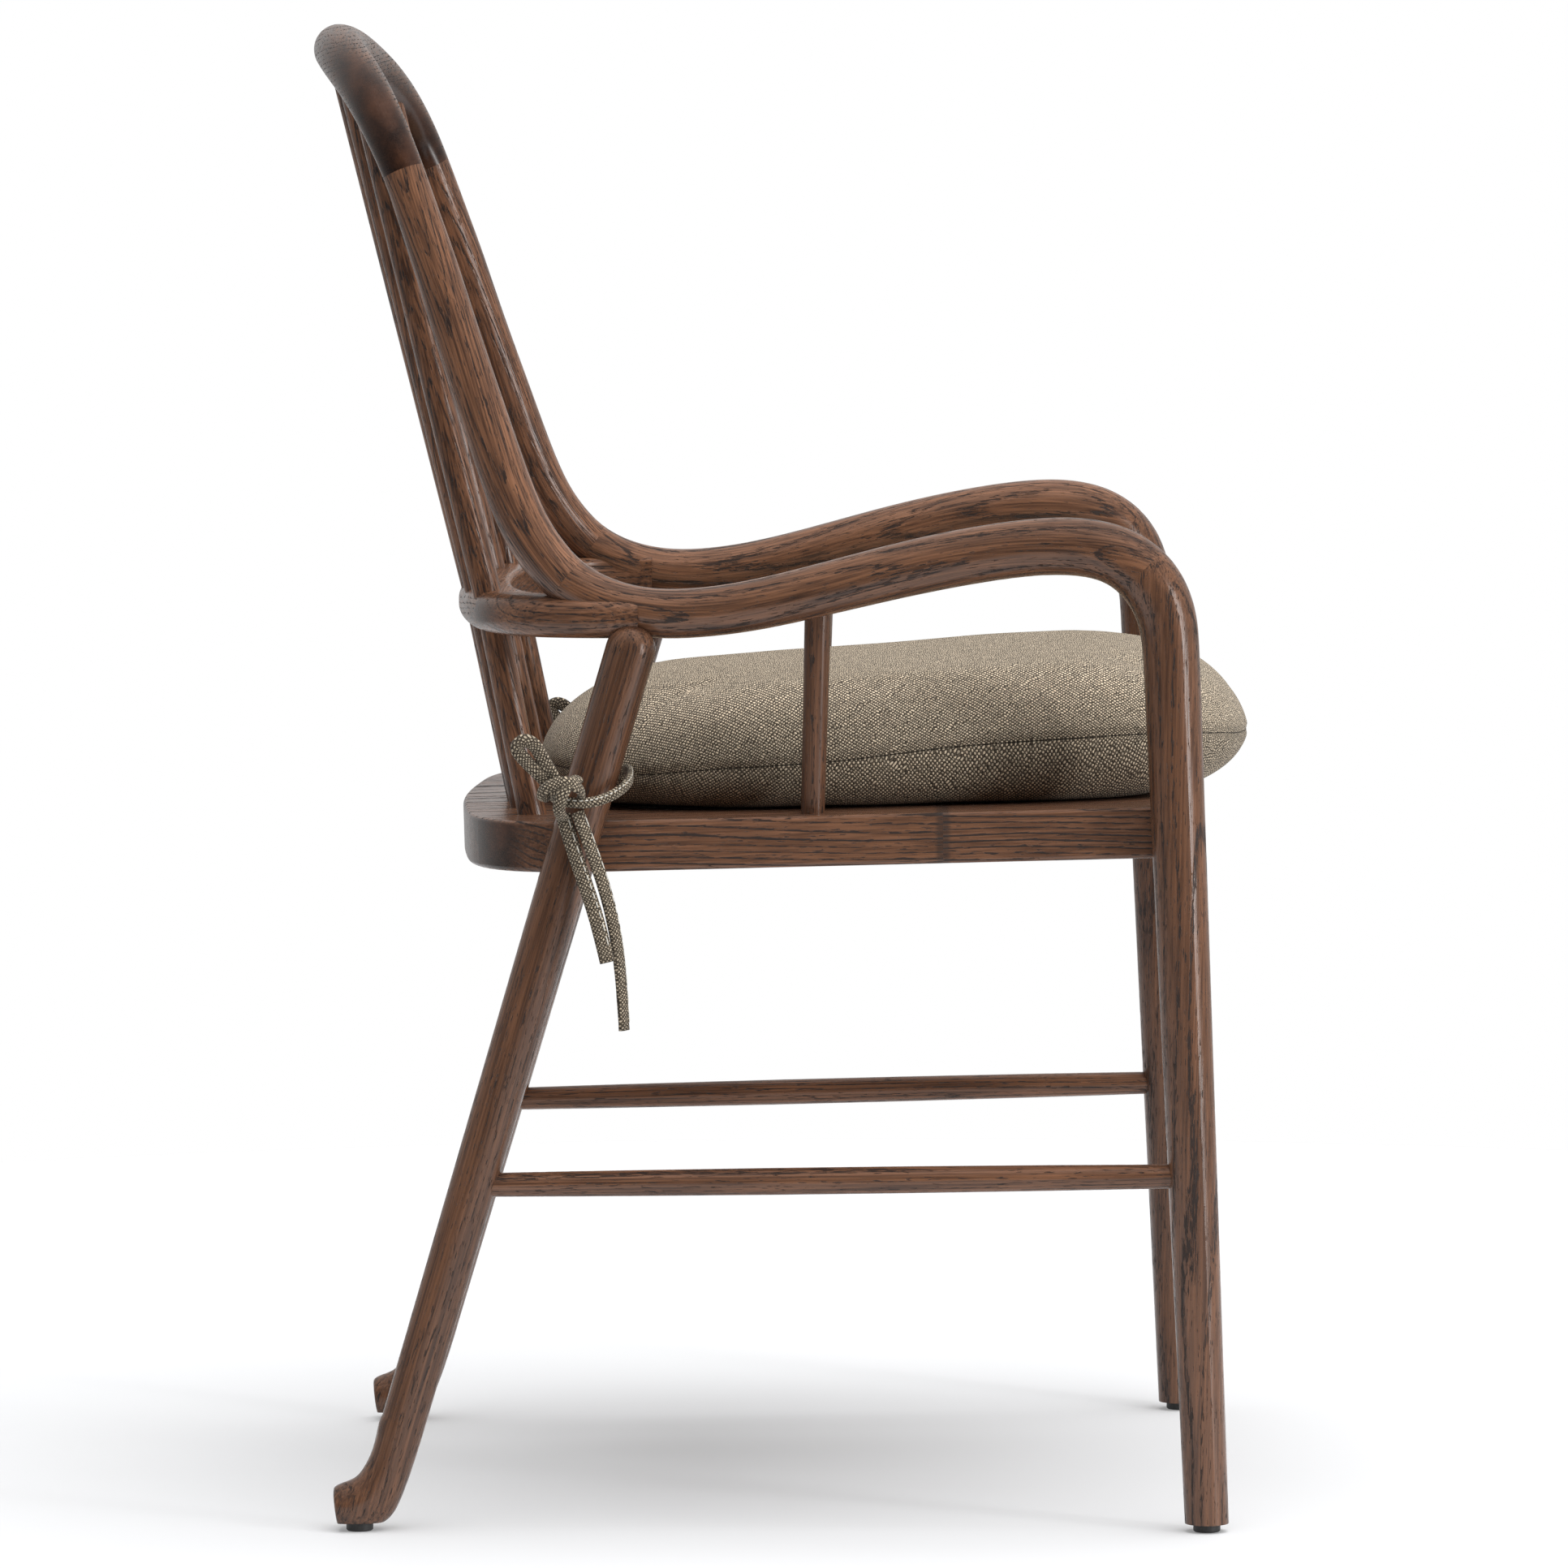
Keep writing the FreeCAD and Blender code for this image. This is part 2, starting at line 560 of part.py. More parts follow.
def build():
    wood, other = {}, {}
    hoop = hoop_pieces()
    plank = seat_plank()
    crest = hoop["crest_rail"]
    for i in range(SPINDLES):
        wood[f"spindle_{i + 1}"] = spindle(i - SPINDLES // 2, crest, plank)
    spindles = list(wood.values())

    leg_blank = back_leg()
    post = arm_post(hoop["arm"], plank)
    rail, rail_tenon = stretcher()
    rail = largest(rail.cut(hoop["front_leg"]).cut(leg_blank)).fuse(rail_tenon).removeSplitter()
    right = {
        "upright": hoop["upright"],
        "arm": hoop["arm"].cut(post),
        "front_leg": hoop["front_leg"].cut(rail),
        "back_leg": largest(leg_blank.cut(hoop["arm"])).cut(rail),
        "arm_post": post,
        "side_stretcher": rail,
    }
    for piece, shape in right.items():
        wood[f"{piece}_right"] = shape
        wood[f"{piece}_left"] = mirrored(shape)

    wood["crest_rail"] = crest.cut(spindles)
    both_legs = [wood[f"back_leg_{side}"] for side, _ in SIDES]
    hoop_parts = [wood[f"{p}_{side}"] for p in ("upright", "arm") for side, _ in SIDES]
    bow = bow_blank().cut(spindles + hoop_parts + both_legs)
    reach = 400.0
    slab = Part.makeBox(2 * BOW_JOINT_X, reach, reach, Vector(-BOW_JOINT_X, 0, 400))
    wood["back_bow_center"] = largest(bow.common(slab))
    for side, sign in SIDES:
        start = -reach if sign < 0 else BOW_JOINT_X
        block = Part.makeBox(reach - BOW_JOINT_X, reach, reach, Vector(start, 0, 400))
        wood[f"back_bow_end_{side}"] = largest(bow.common(block))

    fitted = spindles + both_legs + [wood[f"{p}_{side}"] for p in ("front_leg", "arm_post")
                                     for side, _ in SIDES]
    for name, board in seat_boards(plank).items():
        wood[name] = largest(cut_all(board, fitted))

    seat_pegs, bow_pegs = side_dowels()
    other["hoop_dowels"] = hoop_dowels()
    other["seat_dowels"] = seat_pegs + [mirrored(p) for p in seat_pegs]
    other["back_dowels"] = bow_pegs + [mirrored(p) for p in bow_pegs]
    feet = {}
    for side, sign in SIDES:
        feet[f"glide_front_{side}"] = glide(sign * LEG_X, FRONT_FOOT[0])
        feet[f"glide_rear_{side}"] = glide(sign * BACK_LEG_X, 277.2)
    for name, shape in list(wood.items()):
        tools = other["hoop_dowels"] + other["seat_dowels"] + other["back_dowels"]
        wood[name] = cut_all(shape, tools + list(feet.values()))

    cushion, foam = cushion_solid(), cushion_solid(SHELL)
    pieces = {**wood, **feet, "cushion_cover": cushion_cover(cushion, foam), "cushion_foam": foam}
    for name, solids in other.items():
        pieces[name] = Part.makeCompound(solids)
    for side, sign in SIDES:
        pieces.update(tie(side, sign, mirrored(leg_blank), [cushion, plank]))
    return pieces


def main():
    os.makedirs("parts", exist_ok=True)
    for name, shape in build().items():
        shape.exportStep(f"parts/{name}.step")


main()
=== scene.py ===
"""Looks for the wooden armchair: stained ash, a woven cushion with tied tapes, black glides."""

import math
from collections import namedtuple

import bpy
import numpy as np
from mathutils import Matrix, Vector


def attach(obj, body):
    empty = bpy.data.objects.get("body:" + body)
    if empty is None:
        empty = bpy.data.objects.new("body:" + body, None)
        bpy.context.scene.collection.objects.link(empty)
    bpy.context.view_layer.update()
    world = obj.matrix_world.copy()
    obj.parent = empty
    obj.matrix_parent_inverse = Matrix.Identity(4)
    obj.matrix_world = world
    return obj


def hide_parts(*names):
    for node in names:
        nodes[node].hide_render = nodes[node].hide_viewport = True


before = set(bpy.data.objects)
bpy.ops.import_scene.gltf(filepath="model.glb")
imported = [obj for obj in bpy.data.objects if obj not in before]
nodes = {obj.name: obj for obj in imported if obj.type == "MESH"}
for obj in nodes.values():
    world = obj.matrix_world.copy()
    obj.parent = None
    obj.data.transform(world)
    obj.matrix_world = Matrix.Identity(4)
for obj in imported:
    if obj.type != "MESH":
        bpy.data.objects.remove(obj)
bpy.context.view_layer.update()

# ---- sizes repeated from the CAD, in metres -------------------------------------------
SEAT_TOP_AT_ORIGIN = 0.4644
SEAT_FALL = 0.0217
SIDES = (("right", -1.0), ("left", 1.0))

# Control points of the ties, with positive half widths.
TAILS = {
    "right": {
        "long": ((0.2710, 0.1305, 0.4700), (0.2745, 0.1215, 0.4460), (0.2760, 0.1120, 0.4170),
                 (0.2750, 0.1058, 0.3880), (0.2725, 0.1029, 0.3580), (0.2720, 0.1016, 0.3285)),
        "short": ((0.2680, 0.1400, 0.4680), (0.2715, 0.1335, 0.4460), (0.2775, 0.1250, 0.4220),
                  (0.2815, 0.1170, 0.3970), (0.2820, 0.1118, 0.3735)),
    },
    "left": {
        "long": ((0.2710, 0.1305, 0.4700), (0.2745, 0.1390, 0.4460), (0.2745, 0.1470, 0.4190),
                 (0.2725, 0.1540, 0.3920), (0.2705, 0.1625, 0.3660), (0.2695, 0.1695, 0.3410)),
        "short": ((0.2700, 0.1420, 0.4690), (0.2740, 0.1500, 0.4470), (0.2750, 0.1565, 0.4230),
                  (0.2725, 0.1635, 0.3990), (0.2710, 0.1715, 0.3770)),
    },
}
LOOPS = {
    "right": ((0.2700, 0.1440, 0.4830), (0.2735, 0.1535, 0.4935), (0.2760, 0.1640, 0.5040),
              (0.2775, 0.1700, 0.5120), (0.2780, 0.1650, 0.5175), (0.2775, 0.1580, 0.5150),
              (0.2755, 0.1530, 0.5060), (0.2730, 0.1480, 0.4960), (0.2700, 0.1420, 0.4850)),
    "left": ((0.2700, 0.1440, 0.4810), (0.2735, 0.1540, 0.4850), (0.2760, 0.1630, 0.4920),
             (0.2770, 0.1670, 0.4980), (0.2775, 0.1625, 0.5020), (0.2770, 0.1560, 0.5000),
             (0.2755, 0.1510, 0.4940), (0.2730, 0.1460, 0.4890), (0.2700, 0.1420, 0.4840)),
}
BAND = (
    (0.2720, 0.1400, 0.4770), (0.2740, 0.1300, 0.4755), (0.2720, 0.1180, 0.4765),
    (0.2670, 0.1060, 0.4810), (0.2560, 0.0980, 0.4870), (0.2430, 0.0965, 0.4920),
    (0.2280, 0.0990, 0.4950), (0.2100, 0.1010, 0.4920),
)
BACK_STRAP = (
    (0.2660, 0.1420, 0.4780), (0.2560, 0.1480, 0.4790), (0.2400, 0.1480, 0.4820),
    (0.2220, 0.1400, 0.4860), (0.2050, 0.1240, 0.4880),
)
KNOT_WRAP = (
    (0.2640, 0.1500, 0.4800), (0.2740, 0.1560, 0.4815), (0.2815, 0.1500, 0.4870),
    (0.2830, 0.1400, 0.4905), (0.2810, 0.1310, 0.4880), (0.2730, 0.1265, 0.4820),
    (0.2640, 0.1290, 0.4770),
)
KNOT_CROSS = (
    (0.2700, 0.1300, 0.4910), (0.2800, 0.1340, 0.4910), (0.2850, 0.1390, 0.4840),
    (0.2840, 0.1420, 0.4760), (0.2780, 0.1420, 0.4690), (0.2680, 0.1390, 0.4650),
)


def seat_top(y):
    return SEAT_TOP_AT_ORIGIN - SEAT_FALL * y


# ---- node graphs ------------------------------------------------------------------------
class Graph:
    """The nodes of a material or a world, and short ways to add to them."""

    def __init__(self, owner):
        owner.use_nodes = True
        self.owner = owner
        self.tree = owner.node_tree
        self.shader = self.tree.nodes.get("Principled BSDF")

    def put(self, socket, value):
        if isinstance(value, bpy.types.NodeSocket):
            self.tree.links.new(value, socket)
        else:
            socket.default_value = value

    def node(self, kind, *inputs, **settings):
        made = self.tree.nodes.new(kind)
        for key, value in settings.items():
            setattr(made, key, value)
        for key, value in inputs:
            self.put(made.inputs[key], value)
        return made

    def math(self, operation, *values, clamp=False):
        made = self.node("ShaderNodeMath", *enumerate(values), operation=operation)
        made.use_clamp = clamp
        return made.outputs[0]

    def vector(self, operation, *values):
        return self.node("ShaderNodeVectorMath", *enumerate(values), operation=operation)

    def stretch(self, vector, scale):
        return self.vector("MULTIPLY", vector, scale).outputs[0]

    def noise(self, vector, detail=2.0, roughness=0.5):
        made = self.node("ShaderNodeTexNoise", ("Vector", vector), ("Scale", 1.0),
                         ("Detail", detail), ("Roughness", roughness))
        return made.outputs["Fac"]

    def step(self, value, low, high):
        made = self.node("ShaderNodeMapRange", ("Value", value), ("From Min", low),
                         ("From Max", high), interpolation_type="SMOOTHSTEP")
        return made.outputs["Result"]

    def mix(self, factor, first, second):
        made = self.node("ShaderNodeMix", data_type="RGBA")
        self.put(made.inputs["Factor"], factor)
        self.put(made.inputs[6], first)
        self.put(made.inputs[7], second)
        return made.outputs[2]

    def bump(self, height, distance, strength=1.0):
        made = self.node("ShaderNodeBump", ("Height", height), ("Distance", distance),
                         ("Strength", strength))
        self.put(self.shader.inputs["Normal"], made.outputs["Normal"])


# ---- wood -------------------------------------------------------------------------------
LIGHT_WOOD, DARK_WOOD = (0.272, 0.126, 0.067), (0.056, 0.029, 0.020)
PORE = (0.019, 0.012, 0.010, 1)
DARK_END, LIGHT_END = (0.012, 0.006, 0.005, 1), (0.058, 0.023, 0.012, 1)
GLUE_STAIN = (0.030, 0.024, 0.022, 1)
GLUE_STAIN_WIDTH = 0.006
OUTER_BOARD_JOINT = (0.0, -0.105, 0.45)      # the outer boards are pieced end to end here

Board = namedtuple("Board", "grain pitch porous tone cloudy fibrous end bend", defaults=(None,))


def straighten(g, place, axes, rows):
    """Take the curve of a bent piece out of the coordinates, so that its grain runs along it."""
    along, across = axes
    curve = np.polyfit([row[0] for row in rows], [row[1] for row in rows], 4)
    at = g.node("ShaderNodeSeparateXYZ", (0, place)).outputs[along]
    value = float(curve[0])
    for factor in curve[1:]:
        value = g.math("MULTIPLY_ADD", at, value, float(factor))
    offset = g.node("ShaderNodeCombineXYZ", (across, value)).outputs[0]
    return g.vector("SUBTRACT", place, offset).outputs[0]


def wood(name, seed, kind, stains=()):
    """Stained, open-pored ash with its fibres along the grain; every piece gets its own board.

    Of a kind of board, pitch is the width of a year ring, porous how strongly its early wood
    shows, cloudy and fibrous how much the tone changes from place to place and from fibre to
    fibre, end how squarely a face must cut the fibres to look like end grain; bend gives the
    piece's curve when the grain follows it. Each stain is a dark line (point, direction, width).
    """
    g = Graph(bpy.data.materials.new(name))
    grain = Vector(kind.grain).normalized()
    turn = grain.rotation_difference(Vector((1.0, 0.0, 0.0))).to_euler()
    random = np.random.default_rng(seed)
    shift = tuple(random.uniform(-0.06, 0.06, 3) + (3.0 * random.uniform(), 0, 0))
    place = g.node("ShaderNodeTexCoord").outputs["Object"]
    straight = straighten(g, place, *kind.bend) if kind.bend else place
    board = g.node("ShaderNodeMapping", ("Vector", straight), ("Rotation", turn),
                   ("Location", shift)).outputs[0]

    wander = g.noise(g.stretch(board, (3.0, 20.0, 20.0)), 2.0)
    across = g.vector("LENGTH", g.stretch(board, (0.0, 1.0, 1.0))).outputs["Value"]
    radius = g.math("MULTIPLY_ADD", wander, 5.0 * kind.pitch, across)
    rings = g.math("DIVIDE", radius, kind.pitch)
    ring = g.math("FRACT", rings)
    year = g.node("ShaderNodeTexWhiteNoise", ("W", g.math("FLOOR", rings)),
                  noise_dimensions="1D").outputs["Value"]
    early = g.math("SUBTRACT", 1.0, g.step(ring, 0.08, 0.34))
    early = g.math("MAXIMUM", early, g.step(ring, 0.92, 1.0))
    early = g.math("MULTIPLY", early, g.math("MULTIPLY_ADD", year, 0.7, 0.3))

    fibre = g.noise(g.stretch(board, (12.0, 750.0, 750.0)), 2.0)
    streak = g.noise(g.stretch(board, (9.0, 240.0, 240.0)), 3.0, 0.6)
    cloud = g.noise(g.stretch(board, (6.0, 40.0, 40.0)), 3.0, 0.6)
    pore = g.noise(g.stretch(board, (110.0, 1050.0, 1050.0)), 2.0)
    dash = g.step(g.math("MULTIPLY_ADD", early, 0.21 * kind.porous, pore), 0.635, 0.70)

    normal = g.node("ShaderNodeTexCoord").outputs["Normal"]
    facing = g.vector("DOT_PRODUCT", normal, tuple(grain)).outputs["Value"]
    end_grain = g.step(g.math("ABSOLUTE", facing), kind.end, kind.end + 0.30)
    side_grain = g.math("SUBTRACT", 1.0, end_grain)
    dash = g.math("MULTIPLY", dash, side_grain)

    shade = g.math("MULTIPLY_ADD", cloud, 1.5 * kind.cloudy, 0.54 - 0.75 * kind.cloudy)
    strength = 0.55 * kind.fibrous + 0.6 * kind.cloudy
    shade = g.math("ADD", shade, g.math("MULTIPLY_ADD", streak, strength, -strength / 2))
    fine = g.math("MULTIPLY_ADD", fibre, 1.7 * kind.fibrous, -0.85 * kind.fibrous)
    shade = g.math("ADD", shade, fine)
    shade = g.math("SUBTRACT", shade, g.math("MULTIPLY", early, 0.20 * kind.porous))
    light = [c * kind.tone for c in LIGHT_WOOD]
    dark = [c * kind.tone for c in DARK_WOOD]
    colour = g.mix(g.step(shade, -0.10, 1.15), (*dark, 1), (*light, 1))
    colour = g.mix(g.math("MULTIPLY", dash, 0.88), colour, PORE)
    smooth = g.mix(g.step(cloud, 0.3, 0.7), DARK_END, LIGHT_END)
    colour = g.mix(g.math("MULTIPLY", end_grain, 0.88), colour, smooth)
    for point, normal_to, width in stains:
        offset = g.vector("SUBTRACT", place, point).outputs[0]
        away = g.vector("DOT_PRODUCT", offset, Vector(normal_to).normalized()).outputs["Value"]
        band = g.math("SUBTRACT", 1.0, g.step(g.math("ABSOLUTE", away), width * 0.4, width))
        colour = g.mix(g.math("MULTIPLY", band, 0.6), colour, GLUE_STAIN)

    g.put(g.shader.inputs["Base Color"], colour)
    rough = g.math("MULTIPLY_ADD", dash, 0.30, g.math("MULTIPLY_ADD", streak, 0.20, 0.16))
    g.put(g.shader.inputs["Roughness"], rough)
    g.shader.inputs["Specular IOR Level"].default_value = 0.45
    relief = g.math("SUBTRACT", g.math("MULTIPLY", fibre, 0.3), g.math("MULTIPLY", dash, 1.0))
    relief = g.math("SUBTRACT", relief, g.math("MULTIPLY", early, 0.2))
    g.bump(g.math("MULTIPLY", relief, side_grain), 0.0005, 0.8)
    return g.owner


def paint(name, material):
    slots = nodes[name].data.materials
    slots.clear()
    slots.append(material)


# Side view of the bent pieces' centre lines: (Y, Z) of the arms, (Z, Y) of the uprights.
ARM_CURVE = ((0.1368, 0.6164), (0.1185, 0.6053), (0.0985, 0.5986), (0.0793, 0.5958),
             (0.0520, 0.5962), (0.0207, 0.6002), (-0.0260, 0.6104), (-0.0840, 0.6244),
             (-0.1344, 0.6341), (-0.1710, 0.6383), (-0.2006, 0.6373), (-0.2200, 0.6314))
UPRIGHT_CURVE = ((0.8810, 0.2430), (0.8456, 0.2308), (0.8060, 0.2178), (0.7450, 0.1984),
                 (0.6900, 0.1799), (0.6553, 0.1663), (0.6295, 0.1498), (0.6164, 0.1368))
Y, Z = 1, 2


def wood_of(name, flip):
    """The kind of board that this piece is made of, or None; flip is -1 on the right side."""
    kinds = {
        "crest_rail": Board((1, 0, 0), 0.0030, 1.0, 0.50, 0.8, 1.0, 0.22),
        "back_bow_center": Board((1, 0, 0), 0.0040, 0.8, 0.85, 0.8, 1.0, 0.5),
        "spindle": Board((0, 0.237, 0.97), 0.0018, 0.9, 0.96, 0.35, 1.4, 0.7),
        "upright": Board((-0.058 * flip, 0, 0.262), 0.0018, 0.9, 1.00, 0.40, 1.2, 0.7,
                         ((Z, Y), UPRIGHT_CURVE)),
        "arm_post": Board((0.012 * flip, -0.005, 0.145), 0.0050, 0.5, 0.75, 0.4, 0.7, 0.7),
        "arm": Board((0.05 * flip, -0.39, 0), 0.0062, 1.1, 0.86, 0.75, 1.0, 0.8,
                     ((Y, Z), ARM_CURVE)),
        "front_leg": Board((0, -0.03, 1), 0.0080, 1.2, 0.80, 0.45, 0.7, 0.8),
        "back_leg": Board((0, -0.3034, 1), 0.0056, 0.8, 0.72, 0.5, 0.8, 0.7),
        "side_stretcher": Board((-0.055 * flip, 1, -0.013), 0.0030, 0.9, 0.85, 0.4, 1.0, 0.7),
        "back_bow_end": Board((0.35 * flip, -1, 0), 0.0044, 0.8, 0.85, 0.8, 1.0, 0.5),
        "seat_board": Board((0, 1, -SEAT_FALL), 0.0038, 2.0, 0.92, 0.25, 0.7, 0.45),
    }
    return next((board for kind, board in kinds.items() if name.startswith(kind)), None)


def stain_wood():
    for seed, name in enumerate(sorted(nodes)):
        kind = wood_of(name, -1.0 if name.endswith("right") else 1.0)
        if not kind:
            continue
        stains = []
        if name.startswith(("seat_board_1", "seat_board_7")):
            stains.append((OUTER_BOARD_JOINT, (0, 1, 0), GLUE_STAIN_WIDTH))
        paint(name, wood(f"wood_{name}", seed, kind, stains))


# ---- other hard pieces --------------------------------------------------------------------
def plain_wood():
    g = Graph(bpy.data.materials.new("dowel_wood"))
    place = g.node("ShaderNodeTexCoord").outputs["Object"]
    fibre = g.noise(g.stretch(place, (400.0, 400.0, 30.0)), 3.0)
    g.put(g.shader.inputs["Base Color"], g.mix(fibre, (0.55, 0.38, 0.22, 1), (0.70, 0.54, 0.35, 1)))
    g.put(g.shader.inputs["Roughness"], g.math("MULTIPLY_ADD", fibre, 0.2, 0.5))
    g.bump(fibre, 0.0002)
    return g.owner


def black_plastic():
    g = Graph(bpy.data.materials.new("glide_plastic"))
    place = g.node("ShaderNodeTexCoord").outputs["Object"]
    texture = g.noise(g.stretch(place, (1800.0, 1800.0, 1800.0)), 2.0)
    scuff = g.noise(g.stretch(place, (120.0, 120.0, 120.0)), 3.0)
    colour = g.mix(scuff, (0.012, 0.012, 0.012, 1), (0.04, 0.038, 0.036, 1))
    g.put(g.shader.inputs["Base Color"], colour)
    g.put(g.shader.inputs["Roughness"], g.math("MULTIPLY_ADD", scuff, 0.25, 0.38))
    g.bump(texture, 0.00008)
    return g.owner


# ---- cloth --------------------------------------------------------------------------------
LIGHT_YARN = ((0.68, 0.545, 0.392), (1.00, 0.860, 0.655))     # from its darkest to its lightest
DARK_YARN = ((0.090, 0.070, 0.050), (0.420, 0.336, 0.243))
# painted shade: the near-black colour in the gaps between the yarns
SHADE_BETWEEN_YARNS = (0.03, 0.024, 0.018, 1)
SEAM_SHADOW = (0.018, 0.014, 0.010, 1)
YARN_WANDER = 0.0060


def weave(name, pitch, tone=1.0, seam=None):
    """Melange plain weave of light and dark yarns, pitch metres apart.

    The cloth coordinates come with the mesh, in metres. seam names the attribute that holds the
    distance from the seam, where there is one.
    """
    def toned(yarn):
        return [(*(c * tone for c in shade), 1) for shade in yarn]

    g = Graph(bpy.data.materials.new(name))
    cloth = g.node("ShaderNodeAttribute", attribute_name="cloth").outputs["Vector"]
    slub = g.noise(g.stretch(cloth, (60.0, 900.0, 1.0)), 2.0)
    blotch = g.noise(g.stretch(cloth, (650.0, 650.0, 1.0)), 2.0, 0.6)
    bend = g.noise(g.stretch(cloth, (90.0, 90.0, 1.0)), 3.0, 0.6)
    parts = g.node("ShaderNodeSeparateXYZ", (0, cloth))
    warp = g.math("DIVIDE", g.math("MULTIPLY_ADD", bend, YARN_WANDER, parts.outputs[0]), pitch)
    weft = g.math("DIVIDE", g.math("MULTIPLY_ADD", bend, YARN_WANDER, parts.outputs[1]), pitch)
    wave_warp = g.math("SINE", g.math("MULTIPLY", g.math("FRACT", warp), math.pi))
    wave_weft = g.math("SINE", g.math("MULTIPLY", g.math("FRACT", weft), math.pi))
    yarn = g.math("SQRT", g.math("MULTIPLY", wave_warp, wave_weft))
    count = g.math("ADD", g.math("FLOOR", warp), g.math("FLOOR", weft))
    over = g.math("LESS_THAN", g.math("FLOORED_MODULO", count, 2.0), 0.5)
    cell = g.node("ShaderNodeCombineXYZ", (0, g.math("FLOOR", warp)), (1, g.math("FLOOR", weft)))
    bead = g.node("ShaderNodeTexWhiteNoise", ("Vector", cell.outputs[0])).outputs["Value"]
    skip = g.math("MULTIPLY", g.step(bead, 0.55, 0.95), 0.6)
    light = g.math("MULTIPLY", g.math("SUBTRACT", over, skip, clamp=True), g.step(yarn, 0.2, 0.8))
    bead = g.math("ADD", g.math("MULTIPLY", bead, 0.6), g.math("MULTIPLY_ADD", blotch, 1.2, -0.45))
    bead = g.math("ADD", bead, g.math("MULTIPLY_ADD", slub, 0.5, -0.25), clamp=True)
    warm = g.mix(bead, *toned(LIGHT_YARN))
    dark = g.mix(bead, *toned(DARK_YARN))
    # painted shade: each dark yarn darkens towards its edges and into the gaps between the yarns
    dark = g.mix(g.math("MULTIPLY", yarn, 0.5), SHADE_BETWEEN_YARNS, dark)
    colour = g.mix(light, dark, warm)
    height = g.math("MULTIPLY_ADD", light, 0.7, yarn)
    if seam:
        distance = g.node("ShaderNodeAttribute", attribute_name=seam).outputs["Fac"]
        line = g.math("SUBTRACT", 1.0, g.step(g.math("ABSOLUTE", distance), 0.0002, 0.0008))
        colour = g.mix(g.math("MULTIPLY", line, 0.85), colour, SEAM_SHADOW)
        height = g.math("SUBTRACT", height, g.math("MULTIPLY", line, 2.0))
    g.put(g.shader.inputs["Base Color"], colour)
    g.put(g.shader.inputs["Roughness"], g.math("MULTIPLY_ADD", slub, 0.15, 0.80))
    g.shader.inputs["Specular IOR Level"].default_value = 0.1
    g.shader.inputs["Sheen Weight"].default_value = 0.1
    g.shader.inputs["Sheen Roughness"].default_value = 0.5
    g.bump(height, 0.00030, 0.9)
    return g.owner


def thread():
    g = Graph(bpy.data.materials.new("stitch_thread"))
    place = g.node("ShaderNodeTexCoord").outputs["Object"]
    ply = g.noise(g.stretch(place, (2500.0, 2500.0, 2500.0)), 1.0)
    g.put(g.shader.inputs["Base Color"], g.mix(ply, (0.55, 0.52, 0.45, 1), (0.80, 0.77, 0.70, 1)))
    g.shader.inputs["Roughness"].default_value = 0.7
    g.bump(ply, 0.0001)
    return g.owner


def make_mesh(name, points, faces, materials):
    mesh = bpy.data.meshes.new(name)
    mesh.from_pydata([tuple(p) for p in points], [], faces)
    mesh.validate()
    for material in materials:
        mesh.materials.append(material)
    mesh.polygons.foreach_set("use_smooth", [True] * len(mesh.polygons))
    piece = bpy.data.objects.new(name, mesh)
    bpy.context.scene.collection.objects.link(piece)
    return piece


def set_attribute(mesh, name, kind, values):
    layer = mesh.attributes.new(name, kind, "POINT")
    key = "vector" if kind == "FLOAT_VECTOR" else "value"
    layer.data.foreach_set(key, np.asarray(values, dtype=np.float32).ravel())


# ---- cushion --------------------------------------------------------------------------------
CELLS = 96                       # quads across each panel of the cushion
CENTRE_Y = -0.100
HALF_WIDTH, FRONT_RUN, REAR_RUN = 0.2165, 0.2120, 0.2650
CROWN = ((-0.33, 0.5445), (-0.285, 0.5535), (-0.24, 0.5590), (-0.205, 0.5620), (-0.14, 0.5595),
         (-0.074, 0.5540), (0.008, 0.5490), (0.073, 0.5440), (0.12, 0.5405), (0.17, 0.5345))
SEAM = ((-0.33, 0.5040), (-0.30, 0.5090), (-0.276, 0.5140), (-0.238, 0.5140), (-0.17, 0.5110),
        (-0.109, 0.5070), (-0.031, 0.4965), (0.045, 0.4915), (0.095, 0.4845), (0.17, 0.4875))


# Width of the curl towards the seam at the sides, what the front and the back add, its height.
TOP_CURL = (0.060, 0.0, 0.012, 0.050)
LOWER_CURL = (0.016, 0.040, 0.006, 0.036)
PUFF_CAP = 0.003                 # no point moves further than this when the cover is puffed up
SEAT_GAP, FLATTENED_GAP = 0.0012, 0.0008     # above the seat, before and after settling


def table(rows, y):
    """Smooth reading of a (Y, value) table."""
    at = np.array([row[0] for row in rows])
    value = np.array([row[1] for row in rows])
    spread = np.linspace(-0.014, 0.014, 5)
    return np.mean([np.interp(y + s, at, value) for s in spread], axis=0)


